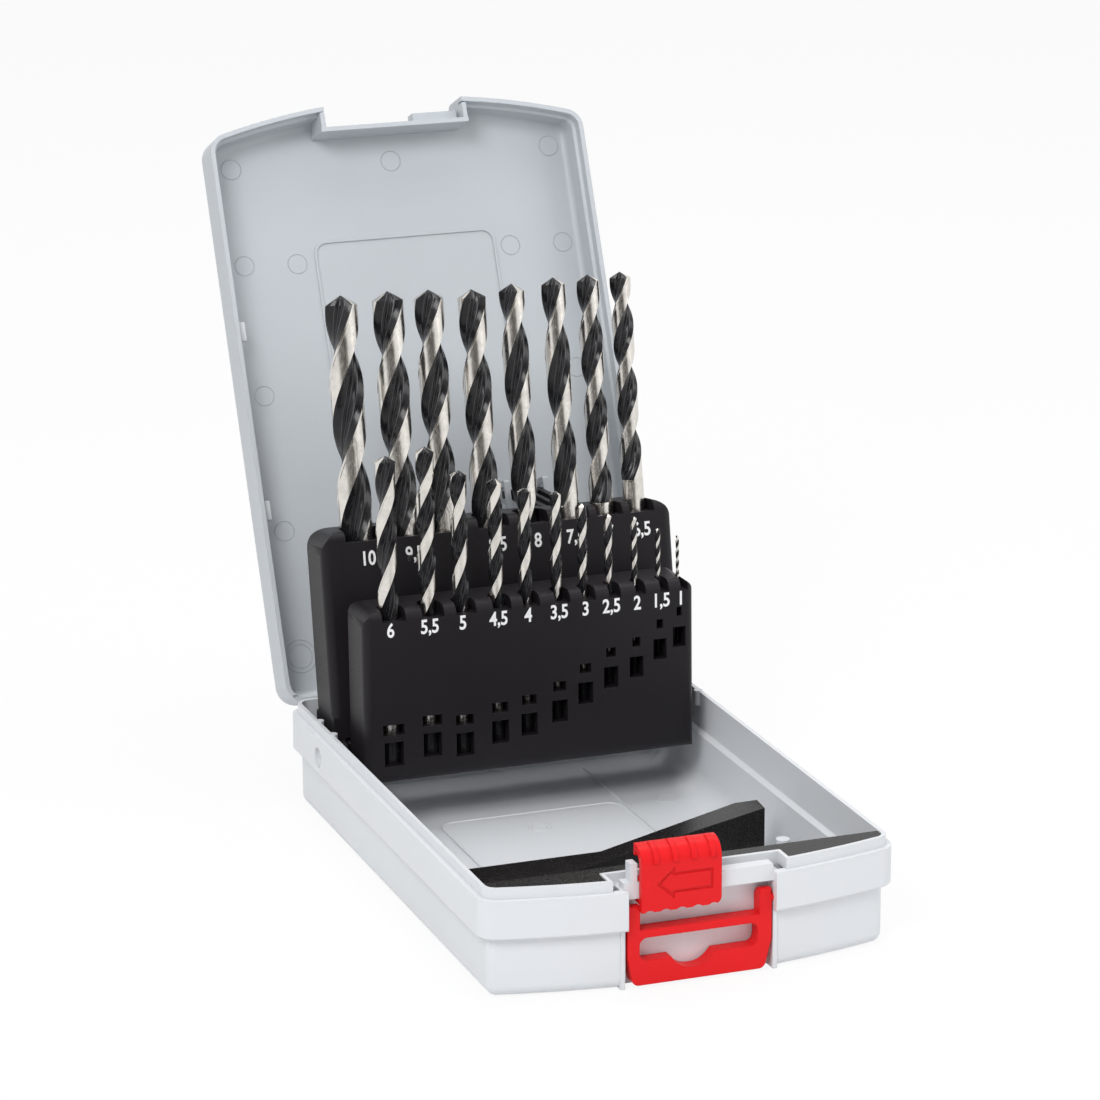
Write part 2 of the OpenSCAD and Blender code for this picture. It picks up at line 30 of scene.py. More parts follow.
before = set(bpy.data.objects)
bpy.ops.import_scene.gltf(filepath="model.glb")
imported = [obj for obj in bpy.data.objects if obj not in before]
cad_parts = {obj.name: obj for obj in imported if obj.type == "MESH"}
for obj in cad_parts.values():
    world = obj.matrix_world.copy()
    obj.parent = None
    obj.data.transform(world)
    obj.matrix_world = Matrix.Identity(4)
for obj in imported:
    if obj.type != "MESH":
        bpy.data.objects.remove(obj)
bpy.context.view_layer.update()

# ---- sizes shared with the part's source, in millimetres -------------------

PIVOT_Y, PIVOT_Z = 57.0, 22.5
HINGE_Y, HINGE_Z = 86.8, 29.5
STUB_Y, STUB_Z = -90.2, 20.6
LID_ANGLE = math.radians(114)
CEILING_Z = 40.3
FLOOR_Z = 2.4
PANEL_Z = 2.9
INNER_WALL_X = 57.6

# Each rack: lean in degrees, its front face and its drills' line, both behind the pivot,
# and how far up from the pivot its numbers stand
RACKS = {
    "front": {"lean": 1.3, "face": -19.0, "line": -13.5, "numbers": 41.6},
    "rear": {"lean": 10.0, "face": -1.4, "line": 5.3, "numbers": 56.8},
}

# Drills: diameter, length, flutes, place along the rack, shank's end, pitch in
# diameters, and the azimuth of a flute's middle at the tip in degrees
REAR_DRILLS = [
    (10.0, 133, 87, -41.7, 0.7, 6.46, 60),
    (9.5, 125, 81, -27.4, 8.8, 6.14, 84),
    (9.0, 125, 81, -14.8, 8.2, 6.11, 71),
    (8.5, 117, 75, -1.5, 15.2, 6.35, 94),
    (8.0, 117, 75, 11.1, 15.8, 6.98, 40),
    (7.5, 109, 69, 24.2, 24.6, 7.55, 56),
    (7.0, 109, 69, 35.1, 24.6, 6.24, 62),
    (6.5, 101, 63, 45.4, 32.6, 5.81, 54),
]
FRONT_DRILLS = [
    (6.0, 93, 57, -41.8, -0.8, 7.04, 95),
    (5.5, 93, 57, -29.9, 0.8, 6.03, 92),
    (5.0, 86, 52, -19.8, -0.2, 6.96, 84),
    (4.5, 80, 47, -8.8, 2.3, 6.0, 37),
    (4.0, 75, 43, 0.3, 3.6, 7.3, 68),
    (3.5, 70, 39, 9.9, 6.6, 6.94, 51),
    (3.0, 61, 33, 18.1, 11.2, 6.4, 150),
    (2.5, 53, 28, 26.2, 15.2, 7.0, 4),
    (2.0, 49, 24, 34.3, 17.5, 6.16, 10),
    (1.5, 40, 18, 41.8, 22.2, 6.3, 130),
    (1.0, 34, 12, 48.0, 25.4, 6.3, 20),
]

# ---- material helpers ------------------------------------------------------


def set_inputs(node, values):
    """Sets a node's inputs from {name: value}."""
    for name, value in values.items():
        node.inputs[name].default_value = value


def node_tools(material):
    """Shorthands that add a node and join two sockets in a material's tree."""
    tree = material.node_tree
    return tree.nodes.new, tree.links.new


def new_material(name):
    material = bpy.data.materials.new(name)
    material.use_nodes = True
    return material, material.node_tree.nodes["Principled BSDF"]


def add_noise(add, link, coordinates, scale, detail=2.0, roughness=0.5):
    noise = add("ShaderNodeTexNoise")
    set_inputs(noise, {"Scale": scale, "Detail": detail, "Roughness": roughness})
    link(coordinates, noise.inputs["Vector"])
    return noise.outputs["Fac"]


def add_ramp(add, link, value, stops):
    """A colour ramp over value, from [(position, colour), ...]."""
    ramp = add("ShaderNodeValToRGB")
    elements = ramp.color_ramp.elements
    while len(elements) < len(stops):
        elements.new(0.5)
    for element, (position, colour) in zip(elements, stops):
        element.position = position
        element.color = (*colour, 1.0)
    link(value, ramp.inputs["Fac"])
    return ramp.outputs["Color"]


def add_range(add, link, value, low, high, to_low, to_high):
    """Carries value from the range low to high into the range to_low to to_high."""
    node = add("ShaderNodeMapRange")
    set_inputs(node, {"From Min": low, "From Max": high, "To Min": to_low, "To Max": to_high})
    link(value, node.inputs["Value"])
    return node.outputs["Result"]


def add_bump(add, link, shader, height, strength, distance, normal=None):
    """Bumps a shader's normal, over an earlier normal if there is one."""
    bump = add("ShaderNodeBump")
    set_inputs(bump, {"Strength": strength, "Distance": distance})
    link(height, bump.inputs["Height"])
    if normal:
        link(normal, bump.inputs["Normal"])
    link(bump.outputs["Normal"], shader.inputs["Normal"])


def tinted(colour, factor):
    return tuple(min(1.0, channel * factor) for channel in colour)


def moulded(
    name, colour, roughness, tint=0.03, grain=2400.0, depth=0.00003, edge=0.0003, gloss=0.5
):
    """Moulded plastic: clouded colour, fine spark-eroded grain and softened edges."""
    material, shader = new_material(name)
    add, link = node_tools(material)
    place = add("ShaderNodeTexCoord").outputs["Object"]
    cloud = add_noise(add, link, place, scale=24.0, detail=4.0)
    stops = [(0.3, tinted(colour, 1 - tint)), (0.7, tinted(colour, 1 + tint))]
    link(add_ramp(add, link, cloud, stops), shader.inputs["Base Color"])
    fine = add_noise(add, link, place, grain, detail=3.0, roughness=0.6)
    polish = add_range(add, link, fine, 0.3, 0.7, roughness - 0.05, roughness + 0.05)
    link(polish, shader.inputs["Roughness"])
    rounded = add("ShaderNodeBevel")
    rounded.samples = 4
    set_inputs(rounded, {"Radius": edge})
    add_bump(
        add, link, shader, fine, strength=0.35, distance=depth, normal=rounded.outputs["Normal"]
    )
    set_inputs(shader, {"Specular IOR Level": gloss})
    return material


def ground_steel(name, colour, roughness, lean):
    """Bright ground steel with faint stains, and fine lines that lean by an angle in degrees."""
    material, shader = new_material(name)
    add, link = node_tools(material)
    place = add("ShaderNodeTexCoord").outputs["Object"]
    mapping = add("ShaderNodeMapping")
    set_inputs(mapping, {"Rotation": (math.radians(lean), 0, 0), "Scale": (1.0, 1.0, 0.04)})
    link(place, mapping.inputs["Vector"])
    lines = add_noise(add, link, mapping.outputs["Vector"], scale=3600.0, detail=3.0, roughness=0.6)
    stain = add_noise(add, link, place, scale=260.0, detail=3.0, roughness=0.6)
    stops = [(0.36, tinted(colour, 0.86)), (0.6, colour)]
    link(add_ramp(add, link, stain, stops), shader.inputs["Base Color"])
    polish = add_range(add, link, lines, 0.25, 0.75, roughness - 0.06, roughness + 0.1)
    link(polish, shader.inputs["Roughness"])
    add_bump(add, link, shader, lines, strength=0.25, distance=0.00002)
    set_inputs(shader, {"Metallic": 1.0})
    return material


def black_oxide(name):
    """The drills' dark flutes: blue-black, half glossy, with fine rolling lines."""
    material, shader = new_material(name)
    add, link = node_tools(material)
    place = add("ShaderNodeTexCoord").outputs["Object"]
    cloud = add_noise(add, link, place, scale=420.0, detail=4.0, roughness=0.65)
    stops = [(0.35, (0.007, 0.007, 0.008)), (0.7, (0.016, 0.016, 0.018))]
    link(add_ramp(add, link, cloud, stops), shader.inputs["Base Color"])
    link(add_range(add, link, cloud, 0.3, 0.7, 0.16, 0.28), shader.inputs["Roughness"])
    fine = add_noise(add, link, place, scale=3000.0)
    add_bump(add, link, shader, fine, strength=0.2, distance=0.00002)
    set_inputs(shader, {"Specular IOR Level": 0.3})
    return material


# ---- materials -------------------------------------------------------------

DRILL_STEEL = (0.77, 0.735, 0.69)

TRAY_PLASTIC = moulded("tray_plastic", (0.7, 0.72, 0.745), 0.42, tint=0.015)
LID_PLASTIC = moulded("lid_plastic", (0.5, 0.53, 0.56), 0.42, tint=0.02)
RACK_PLASTIC = moulded(
    "rack_plastic", (0.0125, 0.0105, 0.0125), 0.44,
    tint=0.12, grain=1700.0, depth=0.00005, edge=0.0004, gloss=0.2,
)
INSERT_PLASTIC = moulded(
    "insert_plastic", (0.006, 0.005, 0.005), 0.26,
    tint=0.15, grain=1500.0, depth=0.000015, gloss=0.2,
)
LATCH_PLASTIC = moulded(
    "latch_plastic", (0.74, 0.009, 0.012), 0.38,
    tint=0.04, grain=2200.0, edge=0.00045, gloss=0.2,
)
NUMBER_PAINT = moulded(
    "number_paint", (0.88, 0.88, 0.88), 0.5,
    tint=0.02, grain=3000.0, depth=0.00002, edge=0.00002,
)
PIN_STEEL = ground_steel("pin_steel", (0.62, 0.62, 0.63), 0.34, lean=0.0)
STEEL = {
    rack: ground_steel(f"drill_steel_{rack}", DRILL_STEEL, 0.2, RACKS[rack]["lean"])
    for rack in ("front", "rear")
}
# Black oxide on the flutes, also used as painted shade on the front drills' seats
BLACK_OXIDE_AND_SEAT_SHADE = black_oxide("flute_oxide_and_seat_shade")
# Lighter steel on the flutes' ripple crests: a painted highlight standing in for the light the
# ridges catch
FLUTE_PAINTED_HIGHLIGHT = ground_steel("flute_painted_highlight", (0.085, 0.085, 0.09), 0.42, lean=0.0)

# ---- placing pieces --------------------------------------------------------

# Points closer than this, in millimetres, are welded
WELD = 0.001
# Angles in degrees: faces up to the first count as one, and edges over the second are rounded
FLAT_ANGLE, EDGE_ANGLE = 0.5, 40


def finish_mesh(name, bm):
    """Turns a bmesh into a mesh whose faces all look outwards."""
    bmesh.ops.recalc_face_normals(bm, faces=bm.faces)
    mesh = bpy.data.meshes.new(name)
    bm.to_mesh(mesh)
    bm.free()
    return mesh


def new_object(name, mesh, body, materials, smooth_angle=32.0):
    """Links a mesh as a piece that rides on a body, with smooth shading up to an angle."""
    obj = bpy.data.objects.new(name, mesh)
    bpy.context.scene.collection.objects.link(obj)
    mesh.materials.clear()
    for material in materials:
        mesh.materials.append(material)
    mesh.shade_smooth()
    mesh.set_sharp_from_angle(angle=math.radians(smooth_angle))
    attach(obj, body)
    return obj


def round_edges(obj, radius):
    """Rounds a piece's sharp edges to a radius in millimetres."""
    bevel = obj.modifiers.new("rounded_edges", "BEVEL")
    bevel.width = radius * MM
    bevel.segments = 3
    bevel.angle_limit = math.radians(EDGE_ANGLE)


def dressed(node, name, body, material, rounding=0.0):
    """A CAD node's own shape, welded, with weighted normals, a finish and edges rounded in mm."""
    bm = bmesh.new()
    bm.from_mesh(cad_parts[node].data)
    bmesh.ops.remove_doubles(bm, verts=bm.verts, dist=WELD * MM)
    if rounding:
        flat = math.radians(FLAT_ANGLE)
        bmesh.ops.dissolve_limit(bm, angle_limit=flat, verts=bm.verts, edges=bm.edges)
    mesh = bpy.data.meshes.new(name)
    bm.to_mesh(mesh)
    bm.free()
    for attribute in [a for a in mesh.attributes if a.name == "custom_normal"]:
        mesh.attributes.remove(attribute)
    for polygon in mesh.polygons:
        polygon.material_index = 0
    obj = new_object(name, mesh, body, [material])
    if rounding:
        round_edges(obj, rounding)
    weighted = obj.modifiers.new("weighted_normals", "WEIGHTED_NORMAL")
    weighted.keep_sharp = True
    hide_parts(node)


def rack_axes(rack):
    """Directions up a leaning rack and out of its back."""
    lean = math.radians(RACKS[rack]["lean"])
    up = Vector((0, math.sin(lean), math.cos(lean)))
    back = Vector((0, math.cos(lean), -math.sin(lean)))
    return up, back


def rack_point(rack, x, behind, along):
    """A point in millimetres, behind a rack's pivot and up along the rack."""
    up, back = rack_axes(rack)
    return Vector((x, PIVOT_Y, PIVOT_Z)) + up * along + back * behind


def opened(x, y, z):
    """A point of the closed lid, carried to the open pose, in metres."""
    a, b = y - HINGE_Y, z - HINGE_Z
    open_y = HINGE_Y + a * math.cos(LID_ANGLE) + b * math.sin(LID_ANGLE)
    open_z = HINGE_Z - a * math.sin(LID_ANGLE) + b * math.cos(LID_ANGLE)
    return Vector((x * MM, open_y * MM, open_z * MM))


def level(x, y, z):
    """A point of the tray, in metres."""
    return Vector((x, y, z)) * MM


# ---- the moulded pieces ----------------------------------------------------

LATCH_ROUNDING = 0.12
HANGER_ROUNDING = 0.45

dressed("base_tray", "tray", "tray", TRAY_PLASTIC)
dressed("lid_shell", "lid", "lid", LID_PLASTIC)
dressed("front_rack", "rack_front", "front_rack", RACK_PLASTIC)
dressed("rear_rack", "rack_rear", "rear_rack", RACK_PLASTIC)
dressed("link_arm", "link", "link", RACK_PLASTIC)
dressed("front_insert", "insert", "tray", INSERT_PLASTIC)
dressed("latch_slide", "latch", "latch", LATCH_PLASTIC, LATCH_ROUNDING)
dressed("hanger", "hanger_plate", "hanger", LATCH_PLASTIC, HANGER_ROUNDING)
for side in ("left", "right"):
    dressed(f"front_lug_{side}", f"rack_lug_{side}", "front_rack", RACK_PLASTIC)
    dressed(f"hinge_pin_{side}", f"lid_pin_{side}", "tray", PIN_STEEL)
    dressed(f"rack_pivot_{side}", f"rack_pin_{side}", "tray", RACK_PLASTIC)
dressed("link_pin", "link_rod", "rear_rack", PIN_STEEL)

# ---- moulding marks --------------------------------------------------------

# Ejector marks on the lid's ceiling: [x, y, radius]
LID_MARKS = [
    (-51.0, -78.5, 3.1), (0.0, -77.5, 3.1), (52.0, -78.5, 3.1), (-51.0, -48.5, 3.0),
    (-34.3, -47.8, 3.0), (34.8, -48.2, 3.0), (52.0, -47.8, 3.0), (-50.5, -8.2, 3.0),
    (-50.2, 33.4, 3.0), (50.5, -8.2, 3.0), (50.5, 33.4, 3.0),
    (-50.7, 71.7, 5.0), (-50.7, 71.7, 3.6),
]
LID_MARK_WIDTH, LID_MARK_DROP = 0.36, 0.14

# Ejector marks on the tray's floor: [x, y, z, radius]
FLOOR_MARKS = [
    (-1.4, 28.6, PANEL_Z, 3.4), (-1.4, 28.6, PANEL_Z, 2.3), (43.1, 40.0, FLOOR_Z, 3.4),
    (-43.1, 40.0, FLOOR_Z, 3.4), (43.1, -30.0, FLOOR_Z, 3.4),
]
FLOOR_MARK_WIDTH, FLOOR_MARK_RISE = 0.4, 0.13
MARK_SUNK = 0.02

# The bead round the floor's panel: left, front, right and back edges, and the corners' radius
PANEL = (-28.1, -37.6, 28.0, 41.6, 4.6)
BEAD_WIDTH, BEAD_TOP, BEAD_RISE, BEAD_SUNK = 1.1, 0.44, 0.3, 0.03


def round_path(x0, y0, x1, y1, r, steps=6):
    """Points and outward directions round a rectangle with round corners."""
    centres = [(x1 - r, y1 - r), (x0 + r, y1 - r), (x0 + r, y0 + r), (x1 - r, y0 + r)]
    path = []
    for corner, (x, y) in enumerate(centres):
        for step in range(steps + 1):
            angle = math.radians(90 * (corner + step / steps))
            out = (math.cos(angle), math.sin(angle))
            path.append((x + r * out[0], y + r * out[1], out))
    return path


def circle_path(x, y, r, steps=40):
    """Points and outward directions round a circle."""
    turns = [2 * math.pi * step / steps for step in range(steps)]
    directions = [(math.cos(turn), math.sin(turn)) for turn in turns]
    return [(x + r * out[0], y + r * out[1], out) for out in directions]


def ridge(bm, place, path, z, width, height, top):
    """A low ridge along a closed path, with a flat top, whose points are carried by place."""
    profile = [(-width / 2, 0.0), (-top / 2, height), (top / 2, height), (width / 2, 0.0)]
    rings = [
        [bm.verts.new(place(x + out[0] * a, y + out[1] * a, z + rise)) for a, rise in profile]
        for x, y, out in path
    ]
    for k, ring in enumerate(rings):
        ahead = rings[(k + 1) % len(rings)]
        for i in range(len(profile)):
            j = (i + 1) % len(profile)
            bm.faces.new((ring[i], ahead[i], ahead[j], ring[j]))


def lid_marks():
    bm = bmesh.new()
    z, width = CEILING_Z + MARK_SUNK, LID_MARK_WIDTH
    for x, y, r in LID_MARKS:
        ridge(bm, opened, circle_path(x, y, r), z, width, -LID_MARK_DROP, width / 2)
    new_object("lid_marks", finish_mesh("lid_marks", bm), "lid", [LID_PLASTIC])


def tray_marks():
    bm = bmesh.new()
    width = FLOOR_MARK_WIDTH
    for x, y, z, r in FLOOR_MARKS:
        path = circle_path(x, y, r)
        ridge(bm, level, path, z - MARK_SUNK, width, FLOOR_MARK_RISE, width / 2)
    ridge(bm, level, round_path(*PANEL), PANEL_Z - BEAD_SUNK, BEAD_WIDTH, BEAD_RISE, BEAD_TOP)
    mesh = finish_mesh("tray_marks", bm)
    new_object("tray_marks", mesh, "tray", [TRAY_PLASTIC])


lid_marks()
tray_marks()

# ---- the lid's clips -------------------------------------------------------

# Two small clips on the lid's left inner wall: their front edges, length and heights
CLIP_FRONTS = (-29.8, 25.0)
CLIP_LENGTH = 5.8
CLIP_LOW, CLIP_HIGH = 31.5, 33.1
# How far they stand out of the wall and into it, and their edges' radius
CLIP_OUT, CLIP_IN, CLIP_ROUNDING = 1.5, 0.2, 0.2


def rounded_box(bm, place, low, high, rounding):
    """A box with small round edges between two corners, carried by place."""
    part = bmesh.new()
    bmesh.ops.create_cube(part, size=1.0)
    for vert in part.verts:
        vert.co = Vector([low[k] + (high[k] - low[k]) * (vert.co[k] + 0.5) for k in range(3)])
    bmesh.ops.bevel(
        part, geom=list(part.edges), offset=rounding, segments=3, profile=0.5, affect="EDGES"
    )
    made = {vert: bm.verts.new(place(*vert.co)) for vert in part.verts}
    for face in part.faces:
        bm.faces.new([made[vert] for vert in face.verts])
    part.free()


def lid_clips():
    bm = bmesh.new()
    for y in CLIP_FRONTS:
        low = (-INNER_WALL_X - CLIP_IN, y, CLIP_LOW)
        high = (-INNER_WALL_X + CLIP_OUT, y + CLIP_LENGTH, CLIP_HIGH)
        rounded_box(bm, opened, low, high, CLIP_ROUNDING)
    new_object("lid_clips", finish_mesh("lid_clips", bm), "lid", [TRAY_PLASTIC])


lid_clips()

# ---- the hanger's arm tops -------------------------------------------------

# Round tops about the stubs: front face, radius and [left, right] of each arm in X
ARM_FRONT = -91.41
ARM_R = 3.01
ARMS = [(-20.51, -16.99), (17.49, 21.01)]
ARM_STEPS = 12


def arm_tops():
    """Tops of the hanger's arms, round about its stubs."""
    bm = bmesh.new()
    first = math.acos((ARM_FRONT - STUB_Y) / ARM_R)
    profile = [(ARM_FRONT, STUB_Z)]
    for step in range(ARM_STEPS + 1):
        angle = first * (1 - step / ARM_STEPS)
        profile.append((STUB_Y + ARM_R * math.cos(angle), STUB_Z + ARM_R * math.sin(angle)))
    count = len(profile)
    for left, right in ARMS:
        ends = [[bm.verts.new(level(x, y, z)) for y, z in profile] for x in (left, right)]
        for end in ends:
            bm.faces.new(end)
        for i in range(count):
            j = (i + 1) % count
            bm.faces.new((ends[0][i], ends[0][j], ends[1][j], ends[1][i]))
    mesh = finish_mesh("hanger_arm_tops", bm)
    obj = new_object("hanger_arm_tops", mesh, "hanger", [LATCH_PLASTIC])
    round_edges(obj, HANGER_ROUNDING)


arm_tops()

# ---- size numbers ----------------------------------------------------------

# Height of the figures, their width against the plain font, and the print's thickness
NUMBER_HEIGHT = 4.1
NUMBER_WIDTH = 0.8
PRINT_THICK = 0.03
PRINT_SUNK = 0.02
# A figure's height in the font, and how much wider its strokes are made
FIGURE_SHARE = 0.7
STROKE_SHARE = 0.03
# The rear rack's first numbers stand right of their holes, and all others left
REAR_LEFT_COUNT = 5
FRONT_SHIFT, REAR_LEFT_SHIFT, REAR_RIGHT_SHIFT = -1.15, 0.9, -0.4


def number_mesh(text):
    """A number in plain condensed figures, as a thin raised print."""
    curve = bpy.data.curves.new("number", "FONT")
    curve.body = text
    curve.align_x = "CENTER"
    curve.align_y = "CENTER"
    curve.size = NUMBER_HEIGHT / FIGURE_SHARE * MM
    curve.offset = STROKE_SHARE * NUMBER_HEIGHT * MM
    curve.extrude = PRINT_THICK * MM
    curve.resolution_u = 6
    carrier = bpy.data.objects.new("number", curve)
    bpy.context.scene.collection.objects.link(carrier)
    bpy.context.view_layer.update()
    evaluated = carrier.evaluated_get(bpy.context.evaluated_depsgraph_get())
    mesh = bpy.data.meshes.new_from_object(evaluated)
    bpy.data.objects.remove(carrier)
    return mesh


def size_text(diameter):
    whole = int(diameter)
    return str(whole) if diameter == whole else f"{whole},5"


def print_matrix(rack, x):
    """Place of a print on a rack's front face: X along it, Y up it and Z out of it."""
    up, back = rack_axes(rack)
    place = rack_point(rack, x, RACKS[rack]["face"] - PRINT_SUNK, RACKS[rack]["numbers"])
    turn = Matrix((Vector((1, 0, 0)), up, -back)).transposed()
    condense = Matrix.Diagonal((NUMBER_WIDTH, 1.0, 1.0, 1.0))
    return Matrix.Translation(place * MM) @ turn.to_4x4() @ condense


def numbers(name, rack, drills, shift):
    """The size numbers of a run of drills, each a shift in millimetres beside its hole."""
    bm = bmesh.new()
    for row in drills:
        mesh = number_mesh(size_text(row[0]))
        mesh.transform(print_matrix(rack, row[3] + shift))
        bm.from_mesh(mesh)
        bpy.data.meshes.remove(mesh)
    mesh = bpy.data.meshes.new(name)
    bm.to_mesh(mesh)
    bm.free()
    new_object(name, mesh, f"{rack}_rack", [NUMBER_PAINT])


numbers("numbers_front", "front", FRONT_DRILLS, FRONT_SHIFT)
numbers("numbers_rear", "rear", REAR_DRILLS[:REAR_LEFT_COUNT], REAR_LEFT_SHIFT)
numbers("numbers_rear_right", "rear", REAR_DRILLS[REAR_LEFT_COUNT:], REAR_RIGHT_SHIFT)

# ---- twist drills ----------------------------------------------------------

# Half of a flute's width in degrees, the steps across it, and the steps on its ripples' crests that
# get a painted highlight of lighter steel
FLUTE_HALF = 56.0
FLUTE_STEPS = 28
PAINTED_HIGHLIGHT_STEPS = (7, 14, 21)
# A land's points in degrees from the flute's middle, and its margin, which has the full radius
LAND_ANGLES = [57.5, 63.5, 65.0, 77.0, 90.0, 103.0, 114.0, 122.0]
MARGIN_START, MARGIN_END = 55.5, 64.0
# Shares of the radius: the flute's depth, its ripples, the land's step and the point's height
BOWL, RIPPLE, LAND_STEP, POINT_RISE = 0.52, 0.03, 0.035, 0.56
# The flute's bowl leans to one side, is flatter than a sine, and has this many ripples
BOWL_LEAN, BOWL_POWER, RIPPLES = 0.18, 0.8, 4
# Run-out of the flutes in diameters, and the largest turn in degrees between two rings
RUN_OUT = 1.1
RING_TURN = 8.0
FEWEST_RINGS = 40
# Flutes are dark from this share of their depth
DARK_DEPTH = 0.12
# Painted shade: the front drills' shanks are coloured dark between these heights, on the faces
# above this ring of points, for the shade inside the rack's lower windows
HEEL_BRIGHT, SEAT_SHADE_TOP = 1.5, 9.6
SEAT_SHADE_RING = 2
# The heels' clearance in the holes, and their chamfer
HEEL_GAP = 0.03
HEEL_CHAMFER = 0.35
# The gap below the first fluted ring, and the point's rings as shares of the full radius
RING_GAP = 0.01
CONE_SHARES = (0.66, 0.33)
# Smooth shading up to this angle in degrees
DRILL_SMOOTH = 24.0

# Finishes of a drill's faces: bright steel, black, and the painted highlight on the flutes' crests
BRIGHT, BLACK, PAINTED_HIGHLIGHT = 0, 1, 2


def half_section():
    """Angles of one flute and one land, from the flute's middle, in degrees."""
    flute = [-FLUTE_HALF + 2 * FLUTE_HALF * k / FLUTE_STEPS for k in range(FLUTE_STEPS + 1)]
    return flute + LAND_ANGLES


SECTION = [angle + turn for turn in (0.0, 180.0) for angle in half_section()]
COUNT = len(SECTION)
HALF = COUNT // 2


def section_radius(angle, depth):
    """Radius over the full one at an angle in the section, for a flute depth of 0 to 1."""
    a = (angle + 90.0) % 180.0 - 90.0
    if abs(a) < FLUTE_HALF - 0.01:
        u = (a + FLUTE_HALF) / (2 * FLUTE_HALF)
        arch = math.sin(math.pi * u)
        bowl = arch**BOWL_POWER * (1.0 + BOWL_LEAN * math.cos(math.pi * u))
        ripple = RIPPLE * arch * math.cos(2 * math.pi * RIPPLES * u)
        return 1.0 - depth * (BOWL * bowl - ripple)
    on_margin = MARGIN_START <= a <= MARGIN_END
    return 1.0 if on_margin else 1.0 - LAND_STEP * depth


def drill_rings(bm, row):
    """A drill's rings of points from heel to tip, and how deep its flutes are at each."""
    diameter, length, flutes, _, _, pitch, azimuth = row
    r = diameter / 2
    start = length - flutes
    corner = length - POINT_RISE * r
    turn_per_mm = 360.0 / (pitch * diameter)

    def point(radius, angle, z):
        # The shank's points keep one direction, and the fluted part winds
        spin = math.radians(angle + azimuth + (max(z, start) - corner) * turn_per_mm)
        return bm.verts.new((radius * math.cos(spin), radius * math.sin(spin), z))

    chamfer = HEEL_CHAMFER * min(1.0, r / 2)
    rings = [[point(r - chamfer, angle, HEEL_GAP) for angle in SECTION]]
    for z in (chamfer, HEEL_BRIGHT, SEAT_SHADE_TOP, start - RING_GAP):
        rings.append([point(r, angle, z) for angle in SECTION])
    depths = [0.0] * len(rings)
    steps = max(FEWEST_RINGS, math.ceil((corner - start) * turn_per_mm / RING_TURN))
    for k in range(steps + 1):
        z = start + (corner - start) * k / steps
        t = min(1.0, (z - start) / (RUN_OUT * diameter))
        depth = t * t * (3 - 2 * t)
        rings.append([point(r * section_radius(angle, depth), angle, z) for angle in SECTION])
        depths.append(depth)
    for share in CONE_SHARES:
        ring = []
        for angle in SECTION:
            radius = r * section_radius(angle, 1.0) * share
            ring.append(point(radius, angle, length - POINT_RISE * radius))
        rings.append(ring)
        depths.append(1.0)
    return rings, depths


def close_drill(bm, rings, depths, length, painted_seat_shade):
    """Faces between a drill's rings, at its tip and at its heel, each with its finish: painted
    shade on the front drills' seats, and a painted highlight on the flutes' crests.
    """
    for k in range(len(rings) - 1):
        for i in range(COUNT):
            j = (i + 1) % COUNT
            face = bm.faces.new((rings[k][i], rings[k][j], rings[k + 1][j], rings[k + 1][i]))
            step = i % HALF
            # Painted shade on the front drills' seats, in the flutes' black
            if k == SEAT_SHADE_RING and painted_seat_shade:
                face.material_index = BLACK
            elif step >= FLUTE_STEPS or depths[k + 1] < DARK_DEPTH:
                face.material_index = BRIGHT
            else:
                # The flutes' crest faces get the painted highlight
                face.material_index = PAINTED_HIGHLIGHT if step in PAINTED_HIGHLIGHT_STEPS else BLACK
    tip = bm.verts.new((0, 0, length))
    heel = bm.verts.new((0, 0, HEEL_GAP))
    for i in range(COUNT):
        j = (i + 1) % COUNT
        in_flute = i % HALF < FLUTE_STEPS
        top = bm.faces.new((rings[-1][i], rings[-1][j], tip))
        top.material_index = BLACK if in_flute else BRIGHT
        bottom = bm.faces.new((rings[0][j], rings[0][i], heel))
        bottom.material_index = BRIGHT


def twist_drill(rack, row):
    """One twist drill in its hole, in place of the part's plainer one."""
    diameter, length, _, x, shank_end, _, _ = row
    bm = bmesh.new()
    rings, depths = drill_rings(bm, row)
    # The front drills' seats get painted shade
    close_drill(bm, rings, depths, length, painted_seat_shade=rack == "front")
    # The drill's own Z runs up the rack
    stand = Matrix.Rotation(-math.radians(RACKS[rack]["lean"]), 4, "X")
    place = rack_point(rack, x, RACKS[rack]["line"], shank_end)
    bm.transform(Matrix.Translation(place * MM) @ stand @ Matrix.Scale(MM, 4))
    node = f"drill_{int(diameter)}_{round(diameter % 1 * 10)}"
    mesh = bpy.data.meshes.new(f"twist_{node}")
    bm.to_mesh(mesh)
    bm.free()
    finish = [polygon.material_index for polygon in mesh.polygons]
    materials = [STEEL[rack], BLACK_OXIDE_AND_SEAT_SHADE, FLUTE_PAINTED_HIGHLIGHT]
    obj = new_object(f"twist_{node}", mesh, node, materials, DRILL_SMOOTH)
    mesh.polygons.foreach_set("material_index", finish)
    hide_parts(node)


for row in REAR_DRILLS:
    twist_drill("rear", row)
for row in FRONT_DRILLS:
    twist_drill("front", row)

# ---- floor and room --------------------------------------------------------

# The floor's half side and its drop below the part in metres, and the share of plain white in it
FLOOR_SIZE, FLOOR_DROP = 6.0, 0.0003
FLOOR_WHITE = 0.9
AMBIENT = 0.46
ROOM_TINT = (0.97, 0.985, 1.0, 1)
# A dark gap in the white room that metal reflects: direction, colour, and where it starts and ends
DARK_GAP = (-0.42, -0.87, 0.26)
GAP_COLOUR = (0.05, 0.042, 0.036, 1)
GAP_START, GAP_FULL = 0.72, 0.93


